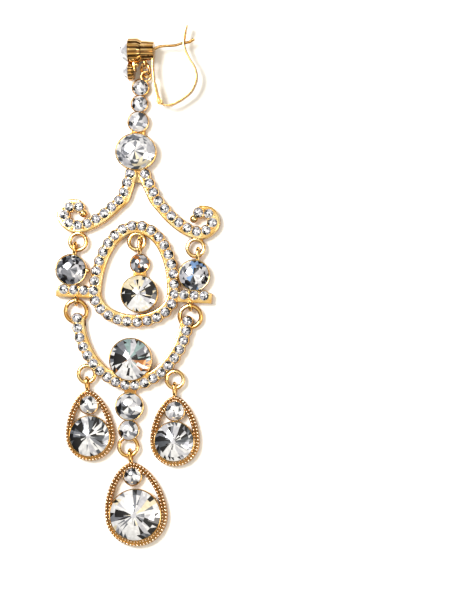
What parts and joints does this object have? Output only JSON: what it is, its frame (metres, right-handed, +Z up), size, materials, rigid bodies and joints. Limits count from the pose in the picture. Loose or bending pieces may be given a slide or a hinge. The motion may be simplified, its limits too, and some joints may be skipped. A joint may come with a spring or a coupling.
{
  "type": "chandelier earring",
  "caption": "Long chandelier earring with a leverback clasp, a stem of stones, scrolled arms, an egg-shaped frame round a drop, a U-shaped frame and pear-shaped drops.",
  "frame": {"origin": "middle of the footprint, on the surface that the earring lies on", "axes": "+Y along its length towards the head, +X to the side of the clasp, +Z up, out of its front"},
  "size_m": [0.0334, 0.1046, 0.0051],
  "materials": {
    "gold": "polished",
    "crystal": "gloss"
  },
  "bodies": {
    "earring": {"head_setting": "gold", "head_ring": "gold", "arms_frame": "gold", "egg_frame": "gold", "bar_ring_left": "gold", "bar_ring_right": "gold", "pendant_setting": "gold", "u_frame": "gold", "teardrop_left": "gold", "teardrop_right": "gold", "teardrop_bottom": "gold", "head_stone_large": "crystal", "head_stone_small": "crystal", "stem_stone_1": "crystal", "stem_stone_2": "crystal", "stem_stone_3": "crystal", "oval_stone": "crystal", "side_stone_left": "crystal", "side_stone_right": "crystal", "pendant_stone_small": "crystal", "pendant_stone_large": "crystal", "u_stone_large": "crystal", "u_stone_middle": "crystal", "u_stone_small": "crystal", "teardrop_left_stone_small": "crystal", "teardrop_left_stone_large": "crystal", "teardrop_right_stone_small": "crystal", "teardrop_right_stone_large": "crystal", "teardrop_bottom_stone_small": "crystal", "teardrop_bottom_stone_large": "crystal"},
    "lever": {"clasp_lever": "gold"}
  },
  "joints": [
    {"name": "lever_hinge", "type": "hinge", "parent": "earring", "child": "lever", "pos_m": [0.00469, 0.03681, 0.0026], "axis": [0, 0, -1], "range_deg": [0, 60]}
  ]
}
